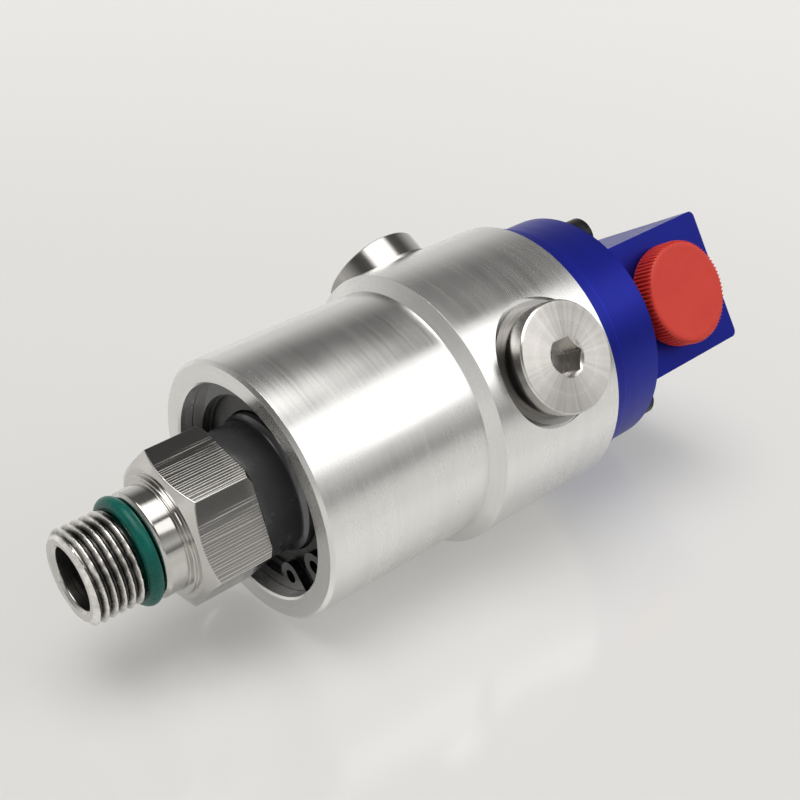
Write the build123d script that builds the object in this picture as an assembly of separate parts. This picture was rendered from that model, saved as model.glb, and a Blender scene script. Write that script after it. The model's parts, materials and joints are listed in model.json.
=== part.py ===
from build123d import *
import math
import os

# Hydraulic rotary union, sizes in millimetres.
# X is the rotation axis: the threaded nose points to -X and the port block to +X, +Z is up.
# The origin lies on the axis in the plane of the narrow seat ring in front of the hexagon.
# An angle round the axis is counted from +Z towards -Y.

# Fits
running_fit = 0.05
sliding_gap = 0.1
running_gap = 0.3
seat_gap = 0.01
cut_margin = 1.0

# Rotor, outside
thread_radius = 8.0
thread_length = 8.6
thread_lead = 0.9
thread_lead_depth = 1.17
undercut_depth = 1.15
undercut_length = 2.9
pilot_radius = 9.1
pilot_length = 4.0
pilot_chamfer = 0.6
seat_ring_radius = 10.2
seat_ring_length = 0.7
hex_across_flats = 24.0
hex_length = 11.7
hex_face_radius = 11.2
hex_front_angle = 30.0
hex_back_radius = 13.2
hex_turn = 43.2
shaft_radius = 10.0

# Rotor, inside
flow_radius = 5.27
flow_countersink = 0.6
seal_seat_depth = 3.0
rotor_tail_length = 6.0

# Nose ring
nose_ring_section = 1.2

# Rotor collar
collar_length = 10.9
collar_wall = 1.5
collar_lip_height = 0.8
collar_lip_start = 6.6
collar_lip_rise = 1.3
collar_edge = 0.3
collar_end_wall = 2.4

# Barrel
barrel_front = 16.4
barrel_length = 63.3
barrel_front_radius = 23.15
barrel_rear_wall = 4.8
step_length = 1.6
rear_land_length = 28.2
barrel_edge = 0.6
mouth_step = 0.6
mouth_edge = 0.35
chamber_radius = 15.0

# Snap ring in the barrel's mouth
front_ring_thickness = 1.5
front_ring_depth = 0.9
front_ring_width = 3.7
front_ring_gap_angle = 140.0
front_ring_gap = 4.4
front_lug_radius = 2.6
front_lug_hole_radius = 1.2
ring_groove_play = 0.1
ring_taper = 0.125

# Dust shield
shield_thickness = 2.6
shield_land_radius = 15.8
shield_recess = 0.7

# Bearings
bearing_radius = 18.5
bearing_width = 9.0
race_wall = 3.0
race_edge = 0.3
ball_radius = 2.38
ball_play = 0.07
ball_count = 11
cage_width = 6.6
cage_gap = 0.25
inner_spacer_wall = 2.4
outer_spacer_wall = 2.0

# Curved spring washer behind the rear bearing
washer_height = 2.0
washer_thickness = 0.6
washer_inner_play = 0.2
washer_play = 0.2

# Snap ring on the rotor
rotor_ring_thickness = 1.2
rotor_ring_depth = 0.5
rotor_ring_width = 2.5
rotor_ring_gap_angle = 0.0
rotor_ring_gap = 3.2
rotor_lug_radius = 1.7
rotor_lug_hole_radius = 0.8

# Drain ports and their plugs
drain_distance = 13.7
drain_angle = 59.0
drain_pocket_radius = 11.34
drain_pocket_depth = 3.15
drain_thread_radius = 6.6
plug_washer_play = 0.64
plug_washer_thickness = 1.5
plug_head_margin = 1.0
plug_head_height = 5.6
plug_edge = 0.3
plug_stem_edge = 0.6
plug_stem_gap = 0.9
plug_socket_flats = 6.0
plug_socket_depth = 4.5
plug_socket_lead = 0.35

# End cap: spigot, flange and port block
spigot_length = 5.8
spigot_groove_distance = 1.3
spigot_groove_width = 2.4
spigot_groove_depth = 1.6
rim_height = 1.2
rim_length = 3.5
flange_length = 14.2
cap_edge = 0.4
block_angle = 60.5
block_face_height = 18.16
block_width = 26.0
block_length = 24.8
block_root = 7.1
block_corner_radius = 1.2
supply_distance = 10.9
supply_thread_radius = 8.0
supply_thread_depth = 12.0
supply_mouth_chamfer = 0.5

# End cap screws
screw_widest_spread = 62.0
screw_inner_wall = 1.75
screw_edge_margin = 0.65
screw_block_gap = 0.05
screw_radius = 2.0
screw_hole_play = 0.2
screw_engagement = 5.8
screw_head_radius = 3.5
screw_head_height = 4.0
screw_socket_flats = 3.0
screw_socket_depth = 2.2
screw_edge = 0.3

# Dust cap in the supply port
dust_head_overhang = 1.8
dust_head_height = 4.9
dust_head_fillet = 0.9
dust_stem_length = 8.0
dust_stem_wall = 1.4

# Face seal
seal_ring_radius = 8.2
rotating_ring_length = 4.0
stationary_ring_length = 4.5
stationary_nose_length = 1.5
stationary_nose_radius = 7.2
carrier_clearance = 0.8
carrier_flange_length = 4.0
carrier_tube_radius = 7.5
carrier_length = 25.0
carrier_gap = 4.9
carrier_end_gap = 2.0
carrier_groove_distance = 5.0
carrier_groove_width = 2.2
carrier_groove_depth = 1.5

# Seal spring and the pins that stop the carrier turning
spring_radius = 9.0
spring_wire_radius = 0.5
spring_turns = 3.0
spring_pocket_play = 0.5
spring_pocket_depth = 5.1
pin_radius = 0.9
pin_seat_depth = 5.0
pin_reach = 3.0
pin_angles = (90.0, 270.0)

# Radii of mating pieces, worked out from the sizes above
undercut_radius = thread_radius - undercut_depth
nose_ring_radius = undercut_radius + nose_ring_section + seat_gap
collar_radius = shaft_radius + collar_wall
collar_lip_radius = collar_radius + collar_lip_height
collar_end_radius = shaft_radius + collar_end_wall
shield_bore_radius = collar_lip_radius + running_gap
mouth_radius = bearing_radius + mouth_step
race_inner_shoulder = shaft_radius + race_wall
race_outer_shoulder = bearing_radius - race_wall
ball_circle_radius = (race_inner_shoulder + race_outer_shoulder) / 2
washer_inner_radius = race_outer_shoulder + washer_inner_play
screw_reach = block_width / 2 + screw_head_radius + screw_block_gap
screw_circle_for_chamber = chamber_radius + screw_inner_wall + screw_radius
screw_circle_for_block = screw_reach / math.sin(math.radians(screw_widest_spread))
screw_circle_radius = max(screw_circle_for_chamber, screw_circle_for_block)
screw_spread = math.degrees(math.asin(screw_reach / screw_circle_radius))
barrel_rear_radius = screw_circle_radius + screw_radius + barrel_rear_wall
drain_pocket_height = barrel_rear_radius - drain_pocket_depth
plug_seat_height = drain_pocket_height + plug_washer_thickness
plug_stem_end = chamber_radius + plug_stem_gap
plug_washer_radius = drain_pocket_radius - plug_washer_play
plug_head_radius = plug_washer_radius - plug_head_margin
spigot_radius = chamber_radius - seat_gap
spigot_groove_radius = chamber_radius - spigot_groove_depth
flange_radius = screw_circle_radius + screw_head_radius + screw_edge_margin
rim_radius = flange_radius + rim_height
carrier_flange_radius = chamber_radius - carrier_clearance
carrier_bore_radius = carrier_tube_radius + running_fit
spring_pocket_radius = spring_radius + spring_wire_radius + spring_pocket_play
pin_circle_radius = (spring_pocket_radius + carrier_flange_radius) / 2
dust_head_radius = supply_thread_radius + dust_head_overhang

# Places along the axis: the nose and the rotor's hexagon
undercut_end = -pilot_length
thread_end = undercut_end - undercut_length
nose_tip = thread_end - thread_length
hex_start = seat_ring_length
hex_end = hex_start + hex_length
front_bearing_start = hex_end + collar_length
shield_start = front_bearing_start - shield_thickness
front_ring_start = shield_start - front_ring_thickness - ring_groove_play / 2
spacer_start = front_bearing_start + bearing_width

# Places along the axis: the barrel's rear end and the end cap
barrel_rear = barrel_front + barrel_length
step_end = barrel_rear - rear_land_length
step_start = step_end - step_length
drain_position = barrel_rear - drain_distance
spigot_start = barrel_rear - spigot_length
spring_seat = spigot_start + spring_pocket_depth
flange_end = barrel_rear + flange_length
supply_position = flange_end + supply_distance
screw_length = flange_length + screw_engagement

# Places along the axis: the seal and the rear bearing, stacked forward from the spigot
carrier_flange_end = spigot_start - carrier_gap
carrier_start = carrier_flange_end - carrier_flange_length
carrier_end = carrier_start + carrier_length
carrier_bore_end = carrier_end + carrier_end_gap
seal_face = carrier_start - stationary_nose_length
stationary_ring_end = seal_face + stationary_ring_length
seal_seat = seal_face - rotating_ring_length
rotor_end = seal_seat + seal_seat_depth
rotor_ring_end = rotor_end - rotor_tail_length
rear_bearing_end = rotor_ring_end - rotor_ring_thickness
rear_bearing_start = rear_bearing_end - bearing_width
chamber_start = rear_bearing_end + washer_height

# The screws stand in pairs just clear of the port block's two sides
screw_angles = [block_angle + spread for spread in
                (screw_spread, -screw_spread, 180 - screw_spread, screw_spread - 180)]

standing = (Align.CENTER, Align.CENTER, Align.MIN)


def turned(*corners):
    """Solid of revolution about the axis from (x, radius) corners."""
    return revolve(make_face(Polyline(*corners, close=True)), Axis.X)


def tube(start, end, inner, outer):
    """Plain ring between two places on the axis."""
    return turned((start, inner), (end, inner), (end, outer), (start, outer))


def outward_plane(position, angle, height):
    """Plane facing away from the axis at an angle, its local x along the axis."""
    outward = Vector(0, 0, 1).rotate(Axis.X, angle)
    return Plane(origin=Vector(position, 0, 0) + outward * height, x_dir=(1, 0, 0), z_dir=outward)


def post(plane, start, end, radius):
    """Round post on a plane, from one height over it to another."""
    return plane * Pos(0, 0, start) * Cylinder(radius, end - start, align=standing)


def heights_over(plane):
    """Sorting key that gives an edge's height over a plane."""
    return lambda edge: plane.to_local_coords(edge.center()).Z


def across_plane(position):
    """Plane square to the axis, its local x along +Y and its local y along +Z."""
    return Plane(origin=(position, 0, 0), x_dir=(0, 1, 0), z_dir=(1, 0, 0))


def polar(radius, angle):
    """Point of an across plane at a radius and an angle counted from +Z towards -Y."""
    turn = math.radians(angle)
    return (-radius * math.sin(turn), radius * math.cos(turn))


def axial_post(start, end, radius, circle_radius, angle):
    """Round post along the axis, off centre by circle_radius at an angle."""
    across, up = polar(circle_radius, angle)
    return post(across_plane(start), 0, end - start, radius).moved(Location((0, across, up)))


def seal_ring(position, mean_radius, section_radius):
    """Rubber ring of round section about the axis."""
    section = Pos(position, mean_radius) * Circle(section_radius)
    return revolve(section, Axis.X)


def hex_socket(plane, flats, depth, lead):
    """Hexagonal key socket cut down from a plane, with a turned lead at its mouth."""
    corner_radius = flats / math.sqrt(3)
    socket = extrude(plane * RegularPolygon(corner_radius, 6), -depth)
    mouth = plane * Pos(0, 0, -lead) * Cone(flats / 2, corner_radius + lead / 2, lead, align=standing)
    return socket + mouth


def hexagon_of_rotor():
    """Wrench hexagon, its corners turned back to the two round faces."""
    corner_radius = hex_across_flats / math.sqrt(3)
    outline = across_plane(hex_start) * RegularPolygon(corner_radius, 6, rotation=90 + hex_turn)
    prism = extrude(outline, hex_length)
    beyond = corner_radius + cut_margin
    front_rise = (beyond - hex_face_radius) * math.tan(math.radians(hex_front_angle))
    envelope = turned(
        (hex_start, 0), (hex_start, hex_face_radius), (hex_start + front_rise, beyond),
        (hex_end - (beyond - hex_back_radius), beyond), (hex_end, hex_back_radius), (hex_end, 0))
    return prism & envelope


def make_rotor():
    """Threaded nose, pilot, hexagon and shaft in one piece, drilled through."""
    shaft = turned(
        (nose_tip, flow_radius + flow_countersink),
        (nose_tip, thread_radius - thread_lead_depth),
        (nose_tip + thread_lead, thread_radius),
        (thread_end, thread_radius),
        (thread_end, undercut_radius),
        (undercut_end, undercut_radius),
        (undercut_end, pilot_radius - pilot_chamfer),
        (undercut_end + pilot_chamfer, pilot_radius),
        (0, pilot_radius),
        (0, seat_ring_radius),
        (hex_start, seat_ring_radius),
        (hex_start, shaft_radius),
        (rear_bearing_end, shaft_radius),
        (rear_bearing_end, shaft_radius - rotor_ring_depth),
        (rotor_ring_end + sliding_gap, shaft_radius - rotor_ring_depth),
        (rotor_ring_end + sliding_gap, shaft_radius),
        (rotor_end, shaft_radius),
        (rotor_end, seal_ring_radius),
        (seal_seat, seal_ring_radius),
        (seal_seat, flow_radius),
        (nose_tip + flow_countersink, flow_radius))
    flow_bore = tube(nose_tip, rotor_end, 0, flow_radius)
    return shaft + (hexagon_of_rotor() - flow_bore)


def make_nose_ring():
    """Sealing ring in the undercut behind the thread."""
    return seal_ring((thread_end + undercut_end) / 2, nose_ring_radius, nose_ring_section)


def make_rotor_collar():
    """Sleeve between the hexagon and the front bearing, with a lip inside the dust shield."""
    lip_start = hex_end + collar_lip_start
    lip_end = lip_start + collar_lip_rise
    outline = [
        Polyline((lip_end, collar_lip_radius), (front_bearing_start - collar_edge, collar_lip_radius),
                 (front_bearing_start - collar_edge, collar_end_radius),
                 (front_bearing_start, collar_end_radius), (front_bearing_start, shaft_radius),
                 (hex_end, shaft_radius), (hex_end, collar_radius - collar_edge),
                 (hex_end + collar_edge, collar_radius), (lip_start, collar_radius)),
        Spline((lip_start, collar_radius), (lip_end, collar_lip_radius), tangents=[(1, 0), (1, 1)])]
    return revolve(make_face(outline), Axis.X)


def drain_planes():
    """Planes through the axis that face out of the two drain ports."""
    return [outward_plane(drain_position, side * drain_angle, 0) for side in (1, -1)]


def make_barrel():
    """Turned housing with two spot-faced drain ports and tapped holes for the end cap."""
    groove_start = front_ring_start - ring_groove_play / 2
    groove_end = front_ring_start + front_ring_thickness + ring_groove_play / 2
    barrel = turned(
        (barrel_front, mouth_radius + mouth_edge),
        (barrel_front, barrel_front_radius - barrel_edge),
        (barrel_front + barrel_edge, barrel_front_radius),
        (step_start, barrel_front_radius),
        (step_end, barrel_rear_radius),
        (barrel_rear - barrel_edge / 2, barrel_rear_radius),
        (barrel_rear, barrel_rear_radius - barrel_edge / 2),
        (barrel_rear, chamber_radius),
        (chamber_start, chamber_radius),
        (chamber_start, bearing_radius),
        (front_bearing_start, bearing_radius),
        (front_bearing_start, mouth_radius),
        (groove_end, mouth_radius),
        (groove_end, mouth_radius + front_ring_depth),
        (groove_start, mouth_radius + front_ring_depth),
        (groove_start, mouth_radius),
        (barrel_front + mouth_edge, mouth_radius))
    for plane in drain_planes():
        barrel -= post(plane, drain_pocket_height, barrel_rear_radius + cut_margin, drain_pocket_radius)
        barrel -= post(plane, 0, barrel_rear_radius, drain_thread_radius)
    for angle in screw_angles:
        hole_end = flange_end - screw_length - screw_hole_play
        barrel -= axial_post(hole_end, barrel_rear, screw_radius, screw_circle_radius, angle)
    return barrel


def ring_opening(lug_circle, angle, gap, lug_radius):
    """Cut that parts a snap ring between its two lugs."""
    across, up = polar(lug_circle, angle)
    return Pos(across, up) * Rot(0, 0, angle) * Rectangle(gap, 2 * (lug_radius + gap))


def make_front_snap_ring():
    """Internal snap ring in the mouth groove, with two drilled lugs at its gap."""
    seat_radius = mouth_radius + front_ring_depth - ring_groove_play
    lug_circle = mouth_radius - front_lug_radius + ring_groove_play
    lug_turn = math.degrees((front_ring_gap / 2 + front_lug_radius) / lug_circle)
    offset = front_ring_width * ring_taper
    shift = polar(offset, front_ring_gap_angle)
    ring = Circle(seat_radius) - Pos(*shift) * Circle(seat_radius - front_ring_width + offset)
    for side in (1, -1):
        spot = polar(lug_circle, front_ring_gap_angle + side * lug_turn)
        ring += Pos(*spot) * Circle(front_lug_radius)
        ring -= Pos(*spot) * Circle(front_lug_hole_radius)
    ring -= ring_opening(lug_circle, front_ring_gap_angle, front_ring_gap, front_lug_radius)
    return extrude(across_plane(front_ring_start) * ring, front_ring_thickness)


def make_rotor_snap_ring():
    """External snap ring behind the rear bearing's inner race."""
    seat_radius = shaft_radius - rotor_ring_depth
    lug_circle = seat_radius + rotor_lug_radius + sliding_gap
    lug_turn = math.degrees((rotor_ring_gap / 2 + rotor_lug_radius) / lug_circle)
    offset = rotor_ring_width * ring_taper
    shift = polar(offset, rotor_ring_gap_angle + 180)
    ring = Pos(*shift) * Circle(seat_radius + rotor_ring_width - offset)
    for side in (1, -1):
        spot = polar(lug_circle, rotor_ring_gap_angle + side * lug_turn)
        ring += Pos(*spot) * Circle(rotor_lug_radius)
        ring -= Pos(*spot) * Circle(rotor_lug_hole_radius)
    ring -= ring_opening(lug_circle, rotor_ring_gap_angle, rotor_ring_gap, rotor_lug_radius)
    ring -= Circle(seat_radius)
    return extrude(across_plane(rear_bearing_end) * ring, rotor_ring_thickness)


def make_dust_shield():
    """Ring between the snap ring and the front bearing, open round the rotor's collar."""
    front = shield_start
    back = front_bearing_start
    return turned(
        (front, shield_land_radius),
        (front, mouth_radius - sliding_gap),
        (back, mouth_radius - sliding_gap),
        (back, shield_land_radius),
        (back - shield_recess, shield_land_radius),
        (back - shield_recess, shield_bore_radius),
        (front + shield_recess, shield_bore_radius),
        (front + shield_recess, shield_land_radius))


def ball_planes(start):
    """Planes through a bearing's centre that face out towards each of its balls."""
    middle = start + bearing_width / 2
    return [outward_plane(middle, 360 * index / ball_count, 0) for index in range(ball_count)]


def ball_groove(start):
    """Ring of the section that the balls run in."""
    return seal_ring(start + bearing_width / 2, ball_circle_radius, ball_radius + ball_play)


def make_race(start, inner, outer):
    """Bearing race with its ball groove and chamfered edges."""
    end = start + bearing_width
    race = turned(
        (start, inner + race_edge), (start + race_edge, inner), (end - race_edge, inner),
        (end, inner + race_edge), (end, outer - race_edge), (end - race_edge, outer),
        (start + race_edge, outer), (start, outer - race_edge))
    return race - ball_groove(start)


def make_balls(start):
    """Balls of one bearing as separate solids."""
    return Compound([plane * Pos(0, 0, ball_circle_radius) * Sphere(ball_radius)
                     for plane in ball_planes(start)])


def make_cage(start):
    """Ring that keeps the balls apart, drilled through for each ball."""
    middle = start + bearing_width / 2
    cage = tube(middle - cage_width / 2, middle + cage_width / 2,
                race_inner_shoulder + cage_gap, race_outer_shoulder - cage_gap)
    for plane in ball_planes(start):
        cage -= post(plane, shaft_radius, bearing_radius, ball_radius + ball_play)
    return cage


def make_wave_washer():
    """Curved spring washer between the rear bearing and the barrel's shoulder."""
    outer_radius = bearing_radius - washer_play
    rise = washer_height - washer_thickness
    bend_radius = (outer_radius ** 2 + rise ** 2) / (2 * rise)
    centre = rear_bearing_end + washer_height - bend_radius
    bow = Circle(bend_radius) - Circle(bend_radius - washer_thickness)
    sheet = extrude(Plane.XY * Pos(centre, 0) * bow, outer_radius, both=True)
    ring = tube(rear_bearing_end, chamber_start, washer_inner_radius, outer_radius)
    return ring & sheet


def make_plug_washer(plane):
    """Flat sealing washer under a drain plug's head."""
    washer = post(plane, drain_pocket_height, plug_seat_height, plug_washer_radius)
    hole_radius = drain_thread_radius + sliding_gap
    return washer - post(plane, drain_pocket_height, plug_seat_height, hole_radius)


def make_drain_plug(plane):
    """Screw plug with a round head and a hexagonal key socket."""
    face = plug_seat_height + plug_head_height
    head = post(plane, plug_seat_height, face, plug_head_radius)
    head = chamfer(head.edges().group_by(heights_over(plane))[-1], plug_edge)
    stem = post(plane, plug_stem_end, plug_seat_height, drain_thread_radius)
    stem = chamfer(stem.edges().group_by(heights_over(plane))[0], plug_stem_edge)
    top = plane.offset(face)
    return head + stem - hex_socket(top, plug_socket_flats, plug_socket_depth, plug_socket_lead)


def port_block():
    """Square block behind the flange, with rounded rear corners."""
    plane = outward_plane(flange_end, block_angle, 0)
    block = Pos((block_length - block_root) / 2, 0) * Rectangle(block_length + block_root, block_width)
    rear_corners = block.vertices().group_by(Axis.X)[-1]
    return extrude(plane * fillet(rear_corners, block_corner_radius), block_face_height, both=True)


def make_end_cap():
    """Spigot, screwed flange and port block, drilled for the flow and the seal carrier."""
    groove_start = spigot_start + spigot_groove_distance
    groove_end = groove_start + spigot_groove_width
    cap = turned(
        (spigot_start, 0),
        (spigot_start, spigot_radius - cap_edge),
        (spigot_start + cap_edge, spigot_radius),
        (groove_start, spigot_radius),
        (groove_start, spigot_groove_radius),
        (groove_end, spigot_groove_radius),
        (groove_end, spigot_radius),
        (barrel_rear, spigot_radius),
        (barrel_rear, rim_radius),
        (barrel_rear + rim_length - cap_edge / 2, rim_radius),
        (barrel_rear + rim_length, rim_radius - cap_edge / 2),
        (barrel_rear + rim_length, flange_radius),
        (flange_end - cap_edge, flange_radius),
        (flange_end, flange_radius - cap_edge),
        (flange_end, 0))
    cap += port_block()
    cap -= tube(spigot_start, spring_seat, 0, spring_pocket_radius)
    cap -= tube(spring_seat, carrier_bore_end, 0, carrier_bore_radius)
    seal_start = spring_seat + carrier_groove_distance
    seal_end = seal_start + carrier_groove_width
    cap -= tube(seal_start, seal_end, 0, carrier_bore_radius + carrier_groove_depth)
    cap -= tube(carrier_bore_end, supply_position, 0, flow_radius)
    port = outward_plane(supply_position, block_angle, 0)
    cap -= post(port, 0, block_face_height, flow_radius)
    cap -= port * Sphere(flow_radius)
    cap -= post(port, block_face_height - supply_thread_depth, block_face_height, supply_thread_radius)
    mouth = Cone(supply_thread_radius, supply_thread_radius + supply_mouth_chamfer,
                 supply_mouth_chamfer, align=standing)
    cap -= port * Pos(0, 0, block_face_height - supply_mouth_chamfer) * mouth
    for angle in screw_angles:
        cap -= axial_post(barrel_rear, flange_end, screw_radius + screw_hole_play, screw_circle_radius, angle)
    for angle in pin_angles:
        cap -= axial_post(spigot_start, spigot_start + pin_seat_depth, pin_radius, pin_circle_radius, angle)
    return cap


def make_end_cap_ring():
    """Sealing ring in the spigot's groove."""
    section_radius = (chamber_radius - spigot_groove_radius) / 2 - seat_gap
    middle = spigot_start + spigot_groove_distance + spigot_groove_width / 2
    return seal_ring(middle, (chamber_radius + spigot_groove_radius) / 2, section_radius)


def make_carrier_ring():
    """Sealing ring between the end cap and the sliding seal carrier."""
    section_radius = (carrier_groove_depth + running_fit) / 2 - seat_gap
    groove_radius = carrier_bore_radius + carrier_groove_depth
    middle = spring_seat + carrier_groove_distance + carrier_groove_width / 2
    return seal_ring(middle, groove_radius - seat_gap - section_radius, section_radius)


def make_cap_screw(angle):
    """Socket head screw of the end cap."""
    plane = across_plane(flange_end)
    head = post(plane, 0, screw_head_height, screw_head_radius)
    head = chamfer(head.edges().group_by(Axis.X)[-1], screw_edge)
    shank = post(plane, -screw_length, 0, screw_radius)
    shank = chamfer(shank.edges().sort_by(Axis.X)[0], screw_edge)
    top = plane.offset(screw_head_height)
    screw = head + shank - hex_socket(top, screw_socket_flats, screw_socket_depth, screw_edge / 2)
    return screw.moved(Location((0, *polar(screw_circle_radius, angle))))


def make_end_cap_screws():
    """The end cap's screws as separate solids."""
    return Compound([make_cap_screw(angle) for angle in screw_angles])


def make_dust_cap():
    """Plastic protective cap with a hollow stem in the supply port."""
    port = outward_plane(supply_position, block_angle, block_face_height)
    head = post(port, 0, dust_head_height, dust_head_radius)
    head = fillet(head.edges().group_by(heights_over(port))[-1], dust_head_fillet)
    stem_radius = supply_thread_radius - running_gap
    stem = post(port, -dust_stem_length, 0, stem_radius)
    hollow = post(port, -dust_stem_length, 0, stem_radius - dust_stem_wall)
    return head + (stem - hollow)


def make_rotating_seal_ring():
    """Hard ring set in the end of the rotor."""
    return tube(seal_seat, seal_face, flow_radius, seal_ring_radius)


def make_stationary_seal_ring():
    """Hard ring set in the carrier, its narrow nose running on the rotating ring."""
    return turned(
        (seal_face, flow_radius),
        (seal_face, stationary_nose_radius),
        (carrier_start, stationary_nose_radius),
        (carrier_start, seal_ring_radius),
        (stationary_ring_end, seal_ring_radius),
        (stationary_ring_end, flow_radius))


def make_seal_carrier():
    """Flanged tube that slides in the end cap and carries the stationary ring."""
    carrier = turned(
        (carrier_start, seal_ring_radius),
        (carrier_start, carrier_flange_radius),
        (carrier_flange_end, carrier_flange_radius),
        (carrier_flange_end, carrier_tube_radius),
        (carrier_end, carrier_tube_radius),
        (carrier_end, flow_radius),
        (stationary_ring_end, flow_radius),
        (stationary_ring_end, seal_ring_radius))
    for angle in pin_angles:
        carrier -= axial_post(
            carrier_start, carrier_flange_end, pin_radius + sliding_gap, pin_circle_radius, angle)
    return carrier


def make_anti_rotation_pins():
    """Pins of the end cap that stop the seal carrier turning."""
    pins = [axial_post(carrier_flange_end - pin_reach, spigot_start + pin_seat_depth,
                       pin_radius, pin_circle_radius, angle) for angle in pin_angles]
    return Compound(pins)


def make_seal_spring():
    """Coil spring between the end cap and the carrier's flange."""
    start = carrier_flange_end + spring_wire_radius
    height = spring_seat - spring_wire_radius - start
    path = Helix(pitch=height / spring_turns, height=height, radius=spring_radius)
    section = Plane(origin=path @ 0, z_dir=path % 0) * Circle(spring_wire_radius)
    coil = sweep(section, path=path)
    return Pos(start, 0, 0) * Rot(0, 90, 0) * coil


def build_pieces():
    """Every separate piece of the union under its own name."""
    front_plug, back_plug = drain_planes()
    return {
        "barrel": make_barrel(),
        "front_snap_ring": make_front_snap_ring(),
        "dust_shield": make_dust_shield(),
        "front_bearing_outer_race": make_race(front_bearing_start, race_outer_shoulder, bearing_radius),
        "front_bearing_inner_race": make_race(front_bearing_start, shaft_radius, race_inner_shoulder),
        "front_bearing_balls": make_balls(front_bearing_start),
        "front_bearing_cage": make_cage(front_bearing_start),
        "bearing_outer_spacer": tube(spacer_start, rear_bearing_start,
                                     bearing_radius - outer_spacer_wall, bearing_radius),
        "bearing_inner_spacer": tube(spacer_start, rear_bearing_start,
                                     shaft_radius, shaft_radius + inner_spacer_wall),
        "rear_bearing_outer_race": make_race(rear_bearing_start, race_outer_shoulder, bearing_radius),
        "rear_bearing_inner_race": make_race(rear_bearing_start, shaft_radius, race_inner_shoulder),
        "rear_bearing_balls": make_balls(rear_bearing_start),
        "rear_bearing_cage": make_cage(rear_bearing_start),
        "bearing_spring_washer": make_wave_washer(),
        "rotor": make_rotor(),
        "nose_o_ring": make_nose_ring(),
        "rotor_collar": make_rotor_collar(),
        "rotor_snap_ring": make_rotor_snap_ring(),
        "rotating_seal_ring": make_rotating_seal_ring(),
        "stationary_seal_ring": make_stationary_seal_ring(),
        "seal_carrier": make_seal_carrier(),
        "seal_spring": make_seal_spring(),
        "anti_rotation_pins": make_anti_rotation_pins(),
        "carrier_o_ring": make_carrier_ring(),
        "end_cap": make_end_cap(),
        "end_cap_o_ring": make_end_cap_ring(),
        "end_cap_screws": make_end_cap_screws(),
        "front_drain_plug": make_drain_plug(front_plug),
        "front_plug_washer": make_plug_washer(front_plug),
        "back_drain_plug": make_drain_plug(back_plug),
        "back_plug_washer": make_plug_washer(back_plug),
        "dust_cap": make_dust_cap(),
    }


os.makedirs("parts", exist_ok=True)
for name, piece in build_pieces().items():
    export_step(piece, f"parts/{name}.step")
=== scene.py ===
import json
import math

import bmesh
import bpy
from bpy.props import FloatProperty, FloatVectorProperty, IntProperty, PointerProperty
from mathutils import Matrix, Vector


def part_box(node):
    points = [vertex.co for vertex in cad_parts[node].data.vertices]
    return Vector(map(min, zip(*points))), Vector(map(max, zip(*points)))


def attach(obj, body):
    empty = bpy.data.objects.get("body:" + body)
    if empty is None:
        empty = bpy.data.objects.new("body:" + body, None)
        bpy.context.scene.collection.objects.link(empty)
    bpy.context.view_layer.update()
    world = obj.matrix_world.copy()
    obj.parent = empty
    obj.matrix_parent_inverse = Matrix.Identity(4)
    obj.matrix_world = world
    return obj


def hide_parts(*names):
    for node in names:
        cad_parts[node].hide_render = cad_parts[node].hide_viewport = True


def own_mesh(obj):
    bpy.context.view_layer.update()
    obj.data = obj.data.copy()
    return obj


bl_info = {
    "name": "Hydraulic rotary union",
    "version": (1, 0, 0),
    "blender": (4, 5, 0),
    "location": "View3D > Sidebar > Rotary union",
    "description": "Dresses the machined parts of a hydraulic rotary union and sets its stage",
    "category": "Object",
}

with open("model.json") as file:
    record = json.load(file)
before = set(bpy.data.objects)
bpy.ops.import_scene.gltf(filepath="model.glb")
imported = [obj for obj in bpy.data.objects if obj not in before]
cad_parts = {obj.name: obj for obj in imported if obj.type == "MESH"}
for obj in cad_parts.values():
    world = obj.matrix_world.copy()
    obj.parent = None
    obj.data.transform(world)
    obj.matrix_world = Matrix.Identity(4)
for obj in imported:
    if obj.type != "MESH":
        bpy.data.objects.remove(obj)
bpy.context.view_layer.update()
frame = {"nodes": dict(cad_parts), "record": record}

# One millimetre in metres, and the direction of the union's axis
MM = 0.001
AXIS = Vector((1, 0, 0))

# Kinds of the node groups' sockets
FLOAT = "NodeSocketFloat"
VECTOR = "NodeSocketVector"

# The photo's camera in the part's own frame
CAMERA_PLACE = Vector((-70.1, -147.1, 117.5)) * MM
CAMERA_FORWARD = Vector((0.5428, 0.6625, -0.5162))
CAMERA_UP = Vector((0.3728, 0.3605, 0.8549))
CAMERA_LENS = 56.48

# The floor touches the barrel's front rim and its step
FLOOR_FRONT = Vector((17.0, 0.0, -23.15)) * MM
FLOOR_BACK = Vector((51.5, 0.0, -25.55)) * MM


# Sizes and colours a user would change


def length(name, description, default):
    """Length property in metres."""
    return FloatProperty(name=name, description=description, default=default,
                         min=0.0, precision=5, unit="LENGTH", subtype="DISTANCE")


def colour(name, description, default):
    """Colour property in linear light."""
    return FloatVectorProperty(name=name, description=description, default=default,
                               size=3, min=0.0, max=1.0, subtype="COLOR")


def direction(name, description, degrees):
    """Angle property, its default given in degrees."""
    return FloatProperty(name=name, description=description, default=math.radians(degrees),
                         unit="ROTATION", subtype="ANGLE")


def level(name, description, default):
    """Number property that stays above zero."""
    return FloatProperty(name=name, description=description, default=default, min=0.0)


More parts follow.
